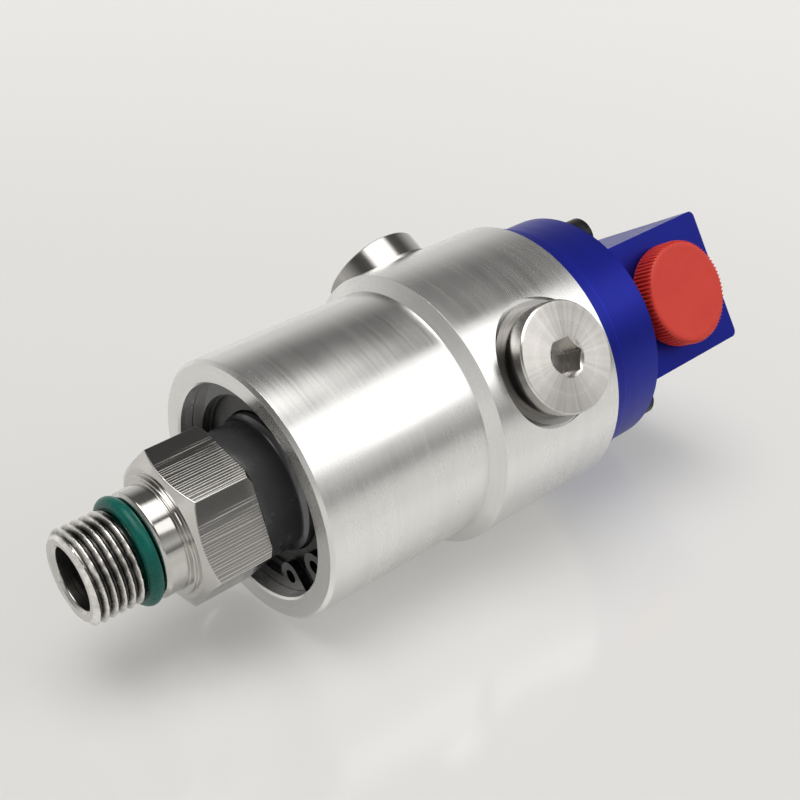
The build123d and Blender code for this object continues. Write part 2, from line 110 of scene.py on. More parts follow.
class UnionRotorSettings(bpy.types.PropertyGroup):
    """Sizes of the rotor's threaded nose."""

    pitch: length("Pitch", "Distance from one thread turn to the next", 1.5 * MM)
    depth: length("Depth", "Height of the thread from root to crest", 0.9 * MM)
    threaded: length("Threaded length", "Length of the thread from the nose tip", 8.6 * MM)
    crest_radius: length("Crest radius", "Outer radius of the thread", 8.0 * MM)
    lead_radius: length("Lead radius", "Radius of the cone at the nose tip", 6.83 * MM)
    lead: length("Lead length", "Length of the cone at the nose tip", 0.9 * MM)
    core_radius: length("Core radius", "Radius of the solid nose under the thread", 6.8 * MM)
    bore_radius: length("Bore radius", "Faces inside this radius belong to the bore", 5.6 * MM)
    edge: length("Edge break", "Width of the broken edges", 0.16 * MM)
    hex_turn: direction("Hexagon turn", "Angle of the hexagon's first corner", 43.2)
    crown: level("Crown", "Drop of a flat per squared metre from its middle", 5.0)


class UnionSealSettings(bpy.types.PropertyGroup):
    """Travel of the face seal's carrier."""

    travel: length("Carrier travel", "How far the carrier presses the spring together", 1.5 * MM)


class UnionPlugSettings(bpy.types.PropertyGroup):
    """Sizes of the drain plugs' pockets."""

    pocket_radius: length("Pocket radius", "Faces inside this radius belong to the pocket", 11.4 * MM)


class UnionCapSettings(bpy.types.PropertyGroup):
    """Sizes of the end cap's painted rim highlight and the protective cap's ridges."""

    # Place and half width of the painted highlight along the blue rim's rear edge.
    rim_place: length("Rim edge place", "Place of the blue rim's rear edge along the axis", 83.1 * MM)
    rim_highlight_half_width: length("Rim wear", "Half the width of the rim's worn edge", 0.22 * MM)
    ridges: IntProperty(name="Ridges", description="Ridges round the rim", default=76, min=12, max=200)
    ridge_radius: length("Ridge radius", "Radius of one ridge", 0.34 * MM)
    ridge_length: length("Ridge length", "Length of one ridge along the rim", 4.65 * MM)
    rim_radius: length("Rim radius", "Radius of the rim between the ridges", 9.55 * MM)
    head_height: length("Head height", "Height of the head over the port block", 4.9 * MM)
    edge_radius: length("Edge radius", "Rounding of the head's edge", 0.6 * MM)
    stem_radius: length("Stem radius", "Outer radius of the hollow stem", 7.7 * MM)
    stem_wall: length("Stem wall", "Wall of the hollow stem", 1.4 * MM)
    stem_length: length("Stem length", "Length of the stem in the port", 8.0 * MM)


class UnionFinishSettings(bpy.types.PropertyGroup):
    """Colours of the union's finishes."""

    aluminium: colour("Aluminium", "Turned housing", (0.80, 0.795, 0.78))
    steel: colour("Steel", "Rotor", (0.60, 0.585, 0.56))
    plug: colour("Plug steel", "Drain plugs", (0.70, 0.68, 0.65))
    # The plugs' bright fans are a painted highlight in the faces' colour.
    fan_turn: direction("Fan turn", "Direction of the plugs' bright fans", 26.9)
    anodised: colour("Anodised blue", "End cap", (0.005, 0.012, 0.3))
    cap: colour("Cap red", "Protective cap", (0.68, 0.035, 0.018))
    nose_ring: colour("Nose ring green", "Ring behind the thread", (0.0015, 0.105, 0.082))
    dark: colour("Black", "Collar, screws and snap rings", (0.022, 0.022, 0.023))


class UnionStageSettings(bpy.types.PropertyGroup):
    """Floor and light."""

    floor: colour("Floor", "Glossy pale table", (0.46, 0.46, 0.452))
    glow: level("Glow", "Light of the table itself", 0.28)
    walls: level("Walls", "Light from the pale walls", 0.72)
    upper: level("Upper room", "Light from above the walls", 0.12)
    ceiling: level("Ceiling", "Light from straight above", 4.4)
    shade: level("Shade", "Darkening low behind the camera", 0.5)
    window: FloatProperty(name="Window", description="Wide lamp beside the camera", default=1.25, min=0.0,
                          unit="POWER")


# Node building


def add(tree, kind, inputs=None, **settings):
    """Node of a kind, with its settings and its inputs by name or number."""
    node = tree.nodes.new(kind)
    for name, value in settings.items():
        setattr(node, name, value)
    for key, value in (inputs or {}).items():
        if isinstance(value, bpy.types.NodeSocket):
            tree.links.new(value, node.inputs[key])
        else:
            node.inputs[key].default_value = value
    return node


def calculate(tree, operation, *values):
    """Output of a maths node on numbers or sockets."""
    kind = "ShaderNodeMath"
    return add(tree, kind, dict(enumerate(values)), operation=operation).outputs[0]


def remap(tree, value, low, high, out_low, out_high):
    """Value moved from one range to another, held at its ends."""
    inputs = {"Value": value, "From Min": low, "From Max": high, "To Min": out_low, "To Max": out_high}
    return add(tree, "ShaderNodeMapRange", inputs).outputs[0]


def new_group(name, kind, inputs, outputs):
    """Node group with named sockets, and its group input and output nodes."""
    tree = bpy.data.node_groups.new(name, kind)
    for label, socket, default in inputs:
        item = tree.interface.new_socket(label, in_out="INPUT", socket_type=socket)
        if default is not None:
            item.default_value = default
    for label, socket in outputs:
        tree.interface.new_socket(label, in_out="OUTPUT", socket_type=socket)
    return tree, tree.nodes.new("NodeGroupInput").outputs, tree.nodes.new("NodeGroupOutput")


def effect_group(name, values, masks):
    """Shader group on a vector, with values that can be set and masks that it gives."""
    inputs = [("Vector", VECTOR, None)] + [(label, FLOAT, default) for label, default in values.items()]
    return new_group(name, "ShaderNodeTree", inputs, [(label, FLOAT) for label in masks])


def noise(tree, place, scale, detail, roughness=0.5):
    """Soft noise at a place."""
    inputs = {"Vector": place, "Scale": scale, "Detail": detail, "Roughness": roughness}
    return add(tree, "ShaderNodeTexNoise", inputs).outputs[0]


def parts_of(tree, place):
    """X, Y and Z of a place."""
    return add(tree, "ShaderNodeSeparateXYZ", {0: place}).outputs


def place_from(tree, x=0.0, y=0.0, z=0.0):
    """Place with the given X, Y and Z."""
    return add(tree, "ShaderNodeCombineXYZ", {0: x, 1: y, 2: z}).outputs[0]


def radius_about_x(tree, parts):
    """Distance from the X axis of a place given by its parts."""
    squares = [calculate(tree, "POWER", parts[name], 2.0) for name in ("Y", "Z")]
    return calculate(tree, "SQRT", calculate(tree, "ADD", *squares))


def turned_marks_group():
    """Fine rings that a lathe leaves round the local X axis, on walls and on faces."""
    tree, given, out = effect_group("turned_marks", {"Rings": 2500.0, "Arc": 60.0}, ["Mask", "Broad"])
    parts = parts_of(tree, given["Vector"])
    radius = radius_about_x(tree, parts)
    along = calculate(tree, "ADD", parts["X"], radius)
    ring = calculate(tree, "MULTIPLY", along, given["Rings"])
    around = [calculate(tree, "MULTIPLY", parts[name], given["Arc"]) for name in ("Y", "Z")]
    place = place_from(tree, ring, *around)
    fine = noise(tree, place, 1.0, 3.0)
    wide = noise(tree, place, 0.16, 2.0)
    tree.links.new(remap(tree, fine, 0.25, 0.75, 0.0, 1.0), out.inputs["Mask"])
    tree.links.new(remap(tree, wide, 0.3, 0.7, 0.0, 1.0), out.inputs["Broad"])


def depth_mask_group():
    """Share of the way from root to crest about the local X axis, full on the cone at the tip."""
    values = {"Inner": 0.007, "Outer": 0.008, "Tip": -0.02, "Lead End": -0.019}
    tree, given, out = effect_group("depth_mask", values, ["Mask"])
    parts = parts_of(tree, given["Vector"])
    radius = radius_about_x(tree, parts)
    height = remap(tree, radius, given["Inner"], given["Outer"], 0.0, 1.0)
    lead = remap(tree, parts["X"], given["Tip"], given["Lead End"], 1.0, 0.0)
    tree.links.new(calculate(tree, "MAXIMUM", height, lead), out.inputs["Mask"])


def pale_edge_band_group():
    """Narrow band about one place along the local X axis."""
    tree, given, out = effect_group("pale_edge_band", {"Place": 0.08, "Width": 0.0002}, ["Mask"])
    parts = parts_of(tree, given["Vector"])
    away = calculate(tree, "ABSOLUTE", calculate(tree, "SUBTRACT", parts["X"], given["Place"]))
    tree.links.new(remap(tree, away, 0.0, given["Width"], 1.0, 0.0), out.inputs["Mask"])


def painted_sheen_fan_group():
    """Two bright fans of fine rays about the local X axis: a painted highlight for the sheen a faced surface
    shows, with painted shade between the fans.
    """
    tree, given, out = effect_group("painted_sheen_fan", {"Turn": 0.0, "Rays": 9.0}, ["Mask"])
    parts = parts_of(tree, given["Vector"])
    angle = calculate(tree, "ARCTAN2", parts["Y"], parts["Z"])
    double = calculate(tree, "MULTIPLY", calculate(tree, "SUBTRACT", angle, given["Turn"]), 2.0)
    broad = remap(tree, calculate(tree, "COSINE", double), -0.9, 0.9, 0.0, 0.8)
    spread = [calculate(tree, "MULTIPLY", calculate(tree, kind, angle), given["Rays"])
              for kind in ("SINE", "COSINE")]
    rays = noise(tree, place_from(tree, *spread), 1.0, 3.0)
    fine = remap(tree, rays, 0.3, 0.7, 0.0, 0.35)
    tree.links.new(calculate(tree, "ADD", broad, fine), out.inputs["Mask"])


def milled_lines_group():
    """Straight cutter lines along the local X axis, on the lower part of each flat of a hexagon."""
    values = {"Lines": 1950.0, "Corner Turn": 0.0}
    tree, given, out = effect_group("milled_lines", values, ["Mask", "Patch", "Across"])
    parts = parts_of(tree, given["Vector"])
    radius = radius_about_x(tree, parts)
    side = calculate(tree, "MULTIPLY", parts["Y"], -1.0)
    angle = calculate(tree, "ARCTAN2", side, parts["Z"])
    from_corner = calculate(tree, "SUBTRACT", angle, given["Corner Turn"])
    flat = calculate(tree, "FRACT", calculate(tree, "DIVIDE", from_corner, math.pi / 3))
    turn = calculate(tree, "MULTIPLY", calculate(tree, "SUBTRACT", flat, 0.5), math.pi / 3)
    across = calculate(tree, "MULTIPLY", radius, calculate(tree, "SINE", turn))
    row = calculate(tree, "MULTIPLY", across, given["Lines"])
    along = calculate(tree, "MULTIPLY", parts["X"], 90.0)
    place = place_from(tree, along, row)
    drift = noise(tree, place, 0.45, 1.0)
    wave = calculate(tree, "PINGPONG", calculate(tree, "MULTIPLY_ADD", drift, 1.6, row), 0.5)
    ragged = noise(tree, place, 0.6, 0.0)
    depth = calculate(tree, "MULTIPLY_ADD", calculate(tree, "SUBTRACT", ragged, 0.5), 0.6, flat)
    tree.links.new(remap(tree, wave, 0.26, 0.46, 0.0, 1.0), out.inputs["Mask"])
    tree.links.new(remap(tree, depth, 0.24, 0.36, 0.0, 1.0), out.inputs["Patch"])
    tree.links.new(across, out.inputs["Across"])


def handling_group():
    """Smudges, fine speckle and a few thin scratches from handling."""
    tree, given, out = effect_group("handling", {"Size": 60.0}, ["Smudge", "Speckle", "Scratch"])
    place = given["Vector"]
    smudge = noise(tree, place, given["Size"], 4.0, 0.6)
    speckle = noise(tree, place, 3500.0, 2.0)
    slanted = {"Vector": place, "Rotation": (0.3, 0.5, 0.8), "Scale": (2600.0, 90.0, 90.0)}
    line = noise(tree, add(tree, "ShaderNodeMapping", slanted).outputs[0], 1.0, 1.0)
    spots = noise(tree, place, 110.0, 0.0)
    thin = remap(tree, line, 0.71, 0.76, 0.0, 1.0)
    some = remap(tree, spots, 0.56, 0.64, 0.0, 1.0)
    tree.links.new(remap(tree, smudge, 0.35, 0.7, 0.0, 1.0), out.inputs["Smudge"])
    tree.links.new(remap(tree, speckle, 0.35, 0.65, 0.0, 1.0), out.inputs["Speckle"])
    tree.links.new(calculate(tree, "MULTIPLY", thin, some), out.inputs["Scratch"])


# Materials


def shade(tint, factor):
    """Colour times a factor, with full alpha."""
    return (*(min(1.0, part * factor) for part in tint), 1.0)


class Finish:
    """Material under construction: its nodes, its shader and its local coordinates."""

    def __init__(self, name, tint, metallic, roughness, turn=None, centre=None):
        self.material = bpy.data.materials.new(name)
        self.material.use_nodes = True
        self.tree = self.material.node_tree
        self.shader = self.tree.nodes["Principled BSDF"]
        self.tint = tint
        self.shader.inputs["Base Color"].default_value = shade(tint, 1.0)
        self.shader.inputs["Metallic"].default_value = metallic
        self.shader.inputs["Roughness"].default_value = roughness
        coordinates = add(self.tree, "ShaderNodeTexCoord").outputs["Object"]
        if centre is not None:
            coordinates = add(self.tree, "ShaderNodeMapping",
                              {"Vector": coordinates, "Location": centre, "Rotation": turn},
                              vector_type="TEXTURE").outputs[0]
        self.place = coordinates

    def effect(self, group, **values):
        """Outputs of a shared effect placed in this material."""
        node = add(self.tree, "ShaderNodeGroup", node_tree=bpy.data.node_groups[group])
        self.tree.links.new(self.place, node.inputs["Vector"])
        for name, value in values.items():
            node.inputs[name].default_value = value
        return node.outputs

    def tinted(self, mask, dark, light):
        """Base colour between two shades of the tint by a mask."""
        mix = add(self.tree, "ShaderNodeMix", data_type="RGBA")
        mix.inputs[6].default_value = shade(self.tint, dark)
        mix.inputs[7].default_value = shade(self.tint, light)
        self.tree.links.new(mask, mix.inputs[0])
        self.tree.links.new(mix.outputs[2], self.shader.inputs["Base Color"])

    def rough(self, mask, low, high):
        """Roughness between two values by a mask."""
        self.tree.links.new(remap(self.tree, mask, 0.0, 1.0, low, high), self.shader.inputs["Roughness"])

    def bump(self, height, depth):
        """Relief of a depth in metres."""
        node = add(self.tree, "ShaderNodeBump", {"Height": height, "Distance": depth})
        self.tree.links.new(node.outputs[0], self.shader.inputs["Normal"])


def turned_metal(name, tint, roughness, rings=2500.0, depth=0.004 * MM, wear=1.0):
    """Bare metal off the lathe, with rings, smudges and a few scratches."""
    finish = Finish(name, tint, 1.0, roughness)
    marks = finish.effect("turned_marks", Rings=rings)
    worn = finish.effect("handling")
    tree = finish.tree
    lines = calculate(tree, "MULTIPLY", marks["Mask"], 0.6)
    streaks = calculate(tree, "MULTIPLY_ADD", marks["Broad"], 0.4, lines)
    finish.tinted(streaks, 0.94, 1.03)
    dull_streaks = calculate(tree, "MULTIPLY", streaks, 0.5)
    dulled = calculate(tree, "MULTIPLY_ADD", worn["Smudge"], 0.5 * wear, dull_streaks)
    finish.rough(dulled, roughness - 0.05 * wear, roughness + 0.07)
    height = calculate(tree, "SUBTRACT", streaks, calculate(tree, "MULTIPLY", worn["Scratch"], 2.0))
    finish.bump(height, depth)
    return finish.material


def faced_metal(name, tint, roughness, fan_turn, turn, centre):
    """Face off the lathe, with two bright fans round its centre painted into its colour as a highlight, and
    painted shade between them.
    """
    finish = Finish(name, tint, 1.0, roughness, turn, centre)
    painted_sheen_fan = finish.effect("painted_sheen_fan", Turn=fan_turn)["Mask"]
    marks = finish.effect("turned_marks", Rings=2600.0)
    # Painted highlight and shade: the face's colour runs from 0.72 to 1.3 of the tint across the fans.
    finish.tinted(painted_sheen_fan, 0.72, 1.3)
    finish.rough(marks["Broad"], roughness - 0.04, roughness + 0.06)
    finish.bump(marks["Mask"], 0.0015 * MM)
    return finish.material


def milled_metal(name, tint, roughness, corner_turn, crown):
    """Bare metal off the mill: slightly crowned flats with cutter lines along the axis in places; the flats
    are painted darker, partly for their dark reflection, and the lines lighter as painted glints.
    """
    finish = Finish(name, tint, 1.0, roughness)
    lines = finish.effect("milled_lines", **{"Corner Turn": corner_turn})
    worn = finish.effect("handling")
    tree = finish.tree
    raised = calculate(tree, "MULTIPLY", lines["Mask"], lines["Patch"])
    # Painted reflection and glints: the flats' colour drops to 0.45 of the steel, partly for their dark
    # reflection, and the cutter lines lighten to 1.05 as painted glints; the smudges are real dirt.
    painted_glint_and_smudge = calculate(tree, "MULTIPLY_ADD", worn["Smudge"], 0.08, raised)
    finish.tinted(painted_glint_and_smudge, 0.45, 1.05)
    finish.rough(raised, roughness, roughness + 0.13)
    drop = calculate(tree, "MULTIPLY", calculate(tree, "POWER", lines["Across"], 2.0), -crown)
    finish.bump(calculate(tree, "MULTIPLY_ADD", raised, 0.008 * MM, drop), 1.0)
    return finish.material


def threaded_metal(name, tint, root, crest, tip, lead):
    """Cut thread, painted darker towards its roots as shade in the grooves, lighter at its crests and on the
    cone at its tip, and dimmed by grime in patches.
    """
    finish = Finish(name, tint, 1.0, 0.22)
    cone = {"Tip": tip + 0.7 * lead, "Lead End": tip + 1.2 * lead}
    height = finish.effect("depth_mask", Inner=root, Outer=crest, **cone)["Mask"]
    marks = finish.effect("turned_marks", Rings=5000.0)
    worn = finish.effect("handling", Size=900.0)
    tree = finish.tree
    grime = calculate(tree, "MULTIPLY", worn["Smudge"], 0.3)
    free_of_shade_and_grime = calculate(tree, "SUBTRACT", height, grime)
    # Painted shade: the colour falls from 1.5 of the steel at the crests to 0.1 in the thread's roots, shade
    # in its grooves; the grime patches are real dirt.
    finish.tinted(calculate(tree, "MAXIMUM", free_of_shade_and_grime, 0.0), 0.1, 1.5)
    finish.rough(worn["Smudge"], 0.16, 0.34)
    finish.bump(marks["Mask"], 0.002 * MM)
    return finish.material


def bored_metal(name, tint):
    """Deep bore, painted darker than the turned outside as shade inside it, with smudges."""
    finish = Finish(name, tint, 1.0, 0.3)
    marks = finish.effect("turned_marks", Rings=2600.0)
    worn = finish.effect("handling", Size=300.0)
    # Painted shade: the bore's colour is held between 0.35 and 0.8 of the steel, darker than the turned
    # outside, varied by smudges.
    finish.tinted(worn["Smudge"], 0.35, 0.8)
    finish.rough(marks["Mask"], 0.22, 0.4)
    finish.bump(marks["Mask"], 0.003 * MM)
    return finish.material


def anodised_metal(name, tint, rim_place, rim_highlight_half_width):
    """Dyed anodised aluminium: satin, with faint turning under the dye and a painted highlight along the
    rim's rear edge.
    """
    finish = Finish(name, tint, 0.8, 0.4)
    marks = finish.effect("turned_marks", Rings=2200.0)
    worn = finish.effect("handling", Size=45.0)
    finish.shader.inputs["Coat Weight"].default_value = 0.1
    finish.shader.inputs["Coat Roughness"].default_value = 0.3
    # Painted highlight: a narrow band at the rim's rear edge is lightened up to four times the blue, standing
    # in for the light its chamfer catches.
    edge = finish.effect("pale_edge_band", Place=rim_place, Width=rim_highlight_half_width)["Mask"]
    tone = calculate(finish.tree, "MULTIPLY_ADD", worn["Smudge"], 0.06, edge)
    finish.tinted(tone, 0.92, 4.0)
    finish.rough(marks["Mask"], 0.36, 0.46)
    finish.bump(marks["Mask"], 0.002 * MM)
    return finish.material


def dark_metal(name, tint, roughness, speckle=0.3, oil=0.0):
    """Blackened metal with a mottled skin, wet with a share of oil."""
    finish = Finish(name, tint, 0.85, roughness)
    finish.shader.inputs["Coat Weight"].default_value = oil
    finish.shader.inputs["Coat Roughness"].default_value = 0.08
    worn = finish.effect("handling", Size=300.0)
    tree = finish.tree
    mottle = calculate(tree, "MULTIPLY_ADD", worn["Speckle"], speckle, worn["Smudge"])
    finish.tinted(mottle, 0.6, 1.7)
    finish.rough(worn["Smudge"], roughness - 0.06, roughness + 0.12)
    finish.bump(worn["Speckle"], 0.006 * MM)
    return finish.material


def gloss_black(name, tint):
    """Polished black with a light dust."""
    finish = Finish(name, tint, 0.5, 0.22)
    worn = finish.effect("handling", Size=120.0)
    finish.shader.inputs["Coat Weight"].default_value = 0.6
    finish.shader.inputs["Coat Roughness"].default_value = 0.12
    finish.tinted(worn["Smudge"], 5.2, 6.6)
    finish.rough(worn["Smudge"], 0.2, 0.3)
    finish.bump(worn["Speckle"], 0.0015 * MM)
    return finish.material


def rubber(name, tint, roughness=0.38):
    """Moulded rubber, slightly uneven."""
    finish = Finish(name, tint, 0.0, roughness)
    worn = finish.effect("handling", Size=260.0)
    finish.shader.inputs["Specular IOR Level"].default_value = 0.25
    finish.tinted(worn["Smudge"], 0.85, 1.15)
    finish.rough(worn["Speckle"], roughness - 0.06, roughness + 0.1)
    finish.bump(worn["Speckle"], 0.006 * MM)
    return finish.material


def waxy_plastic(name, tint, place, rim, top):
    """Moulded soft plastic with a waxy sheen, a fine grain and pale ridge tips."""
    finish = Finish(name, tint, 0.0, 0.42, *place)
    worn = finish.effect("handling", Size=150.0)
    no_cone = {"Tip": -1.0, "Lead End": -0.9}
    outer = finish.effect("depth_mask", Inner=rim, Outer=rim + 0.2 * MM, **no_cone)["Mask"]
    tips = finish.effect("pale_edge_band", Place=top, Width=0.6 * MM)["Mask"]
    pale = calculate(finish.tree, "MULTIPLY", outer, tips)
    tone = calculate(finish.tree, "MULTIPLY_ADD", worn["Smudge"], 0.08, pale)
    finish.shader.inputs["Subsurface Weight"].default_value = 0.15
    finish.shader.inputs["Subsurface Scale"].default_value = 0.6 * MM
    finish.tinted(tone, 0.92, 4.0)
    finish.rough(worn["Smudge"], 0.36, 0.52)
    finish.bump(worn["Speckle"], 0.01 * MM)
    return finish.material


# Mesh building


def show(thing):
    """Puts an object into the scene."""
    bpy.context.scene.collection.objects.link(thing)


def run_tree(tree, values):
    """Plain mesh of a geometry tree run with the given inputs."""
    carrier = bpy.data.objects.new(tree.name, bpy.data.meshes.new(tree.name))
    show(carrier)
    modifier = carrier.modifiers.new(tree.name, "NODES")
    modifier.node_group = tree
    for item in tree.interface.items_tree:
        if item.in_out == "INPUT" and item.name in values:
            modifier[item.identifier] = values[item.name]
    depsgraph = bpy.context.evaluated_depsgraph_get()
    mesh = bpy.data.meshes.new_from_object(carrier.evaluated_get(depsgraph), depsgraph=depsgraph)
    bpy.data.objects.remove(carrier)
    return mesh


def merged_copy(node):
    """CAD node's mesh with its loose triangles joined into clean faces."""
    build = bmesh.new()
    build.from_mesh(frame["nodes"][node].data)
    bmesh.ops.remove_doubles(build, verts=build.verts, dist=0.001 * MM)
    bmesh.ops.dissolve_limit(build, angle_limit=math.radians(0.3), verts=build.verts, edges=build.edges)
    return build


def break_edges(build, width, sharpest=35.0):
    """Edges sharper than an angle in degrees get a narrow rounded break that catches the light."""
    sharp = [edge for edge in build.edges
             if len(edge.link_faces) == 2 and edge.calc_face_angle() > math.radians(sharpest)]
    bmesh.ops.bevel(build, geom=sharp, offset=width, segments=2, profile=0.5,
                    affect="EDGES", clamp_overlap=True)


def weigh_normals(piece):
    """Wide faces stay flat up to their edge breaks, which take up the whole turn."""
    modifier = piece.modifiers.new("Weighted normals", "WEIGHTED_NORMAL")
    modifier.weight = 50
    modifier.keep_sharp = True
    depsgraph = bpy.context.evaluated_depsgraph_get()
    piece.data = bpy.data.meshes.new_from_object(piece.evaluated_get(depsgraph), depsgraph=depsgraph)
    piece.modifiers.clear()


def turn_normals(mesh, turned_indices, tolerance=2.5):
    """Turned faces shade like the surfaces of revolution about X that they stand for."""
    normals = [Vector(corner.vector) for corner in mesh.corner_normals]
    for polygon in mesh.polygons:
        if polygon.material_index not in turned_indices:
            continue
        slope = polygon.normal.x
        spread = math.sqrt(max(0.0, 1.0 - slope ** 2))
        for corner in polygon.loop_indices:
            place = mesh.vertices[mesh.loops[corner].vertex_index].co
            radial = Vector((0.0, place.y, place.z)).normalized()
            exact = Vector((slope, 0.0, 0.0)) + radial * math.copysign(spread, polygon.normal.dot(radial))
            if exact.angle(polygon.normal) < math.radians(tolerance):
                normals[corner] = exact
    mesh.normals_split_custom_set(normals)


def piece_from(build, name, body, materials, smooth=22.0):
    """Object made from a bmesh, in place, riding on a body."""
    mesh = bpy.data.meshes.new(name)
    build.to_mesh(mesh)
    build.free()
    if "custom_normal" in mesh.attributes:
        mesh.attributes.remove(mesh.attributes["custom_normal"])
    for material in materials:
        mesh.materials.append(material)
    mesh.shade_smooth()
    mesh.set_sharp_from_angle(angle=math.radians(smooth))
    piece = bpy.data.objects.new(name, mesh)
    show(piece)
    weigh_normals(piece)
    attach(piece, body)
    return piece


def dress(material, *nodes):
    """CAD nodes keep their shape and get a material."""
    for node in nodes:
        slots = frame["nodes"][node].data.materials
        slots.clear()
        slots.append(material)


def port_matrix(mount_name):
    """Frame of a port: local Z out of the port, local X along the union's axis."""
    mount = next(item for item in frame["record"]["mounts"] if item["name"] == mount_name)
    out = Vector(mount["axis"]).normalized()
    across = out.cross(AXIS)
    turn = Matrix((AXIS, across, out)).transposed().to_4x4()
    return Matrix.Translation(Vector(mount["pos_m"])) @ turn


def pattern_place(mount_name):
    """Turn and centre that put a pattern's local X axis on a port's axis."""
    place = port_matrix(mount_name)
    turn = place @ Matrix.Rotation(math.radians(-90), 4, "Y")
    return turn.to_euler(), place.to_translation()


# Rotor


def thread_tree():
    """Closed threaded sleeve about the X axis, its radius following a right-hand helix."""
    tree, given, out = new_group(
        "nose_thread", "GeometryNodeTree",
        [("Start", FLOAT, 0.0), ("Length", FLOAT, 0.01), ("Pitch", FLOAT, 0.001),
         ("Depth", FLOAT, 0.001), ("Crest Radius", FLOAT, 0.01), ("Lead Radius", FLOAT, 0.01),
         ("Lead", FLOAT, 0.001), ("Inner Radius", FLOAT, 0.005),
         ("Rows", "NodeSocketInt", 150), ("Columns", "NodeSocketInt", 193),
         ("Material", "NodeSocketMaterial", None)],
        [("Geometry", "NodeSocketGeometry")])
    grid = add(tree, "GeometryNodeMeshGrid",
               {"Size X": 1.0, "Size Y": 1.0, "Vertices X": given["Rows"], "Vertices Y": given["Columns"]})
    spot = parts_of(tree, add(tree, "GeometryNodeInputPosition").outputs[0])
    share = calculate(tree, "ADD", spot["X"], 0.5)
    turn = calculate(tree, "ADD", spot["Y"], 0.5)
    angle = calculate(tree, "MULTIPLY", turn, 2 * math.pi)
    along = calculate(tree, "MULTIPLY", share, given["Length"])
    phase = calculate(tree, "SUBTRACT", calculate(tree, "DIVIDE", along, given["Pitch"]), turn)
    wave = calculate(tree, "PINGPONG", phase, 0.5)
    crest_end = 0.06
    root_start = 0.42
    flank = remap(tree, wave, crest_end, root_start, 0.0, 1.0)
    groove = calculate(tree, "MULTIPLY", flank, given["Depth"])
    helix = calculate(tree, "SUBTRACT", given["Crest Radius"], groove)
    rise = calculate(tree, "SUBTRACT", given["Crest Radius"], given["Lead Radius"])
    slope = calculate(tree, "DIVIDE", rise, given["Lead"])
    cone = calculate(tree, "MULTIPLY_ADD", along, slope, given["Lead Radius"])
    outside = calculate(tree, "MINIMUM", helix, cone)
    margin = 0.001
    first = calculate(tree, "LESS_THAN", share, margin)
    last = calculate(tree, "GREATER_THAN", share, 1.0 - margin)
    end = calculate(tree, "MAXIMUM", first, last)
    inset = calculate(tree, "SUBTRACT", outside, given["Inner Radius"])
    kept = calculate(tree, "MULTIPLY", inset, calculate(tree, "SUBTRACT", 1.0, end))
    radius = calculate(tree, "ADD", given["Inner Radius"], kept)
    place = calculate(tree, "ADD", given["Start"], along)
    mirrored = calculate(tree, "MULTIPLY", radius, -1.0)
    side = calculate(tree, "MULTIPLY", calculate(tree, "SINE", angle), mirrored)
    up = calculate(tree, "MULTIPLY", calculate(tree, "COSINE", angle), radius)
    position = place_from(tree, place, side, up)
    moved = add(tree, "GeometryNodeSetPosition", {"Geometry": grid.outputs[0], "Position": position})
    seam = {"Geometry": moved.outputs[0], "Distance": 0.00001 * MM}
    joined = add(tree, "GeometryNodeMergeByDistance", seam)
    real = add(tree, "GeometryNodeRealizeInstances", {"Geometry": joined.outputs[0]})
    ready = add(tree, "GeometryNodeSetMaterial", {"Geometry": real.outputs[0], "Material": given["Material"]})
    tree.links.new(ready.outputs[0], out.inputs[0])
    return tree


def narrow_nose(build, tip, end, core_radius):
    """The plain nose shrinks to the thread's core, so that the threaded sleeve covers it."""
    tip_face = 0.05 * MM
    end_face = 0.01 * MM
    least_height = 0.9 * MM
    for vertex in build.verts:
        radius = math.hypot(vertex.co.y, vertex.co.z)
        if tip + tip_face < vertex.co.x < end + end_face and radius > core_radius + least_height:
            vertex.co.yz = Vector(vertex.co.yz) * (core_radius / radius)


def close_sleeve(build):
    """The threaded sleeve's two open rims are joined by its inner wall."""
    rims = [edge for edge in build.edges if edge.is_boundary]
    bmesh.ops.bridge_loops(build, edges=rims)


def mark_flats(build, material_index):
    """The hexagon's flats, the only wide faces that far from the axis, get a material of their own."""
    least_reach = 11 * MM
    least_area = 20 * MM ** 2
    most_lean = 0.02
    for face in build.faces:
        middle = face.calc_center_median()
        wide = abs(face.normal.x) < most_lean and face.calc_area() > least_area
        if wide and math.hypot(middle.y, middle.z) > least_reach:
            face.material_index = material_index


def mark_bore(build, radius, mouth, material_index):
    """The bore's wall behind its mouth gets a material of its own."""
    for face in build.faces:
        reach = max(math.hypot(vertex.co.y, vertex.co.z) for vertex in face.verts)
        if reach < radius and face.calc_center_median().x > mouth:
            face.material_index = material_index


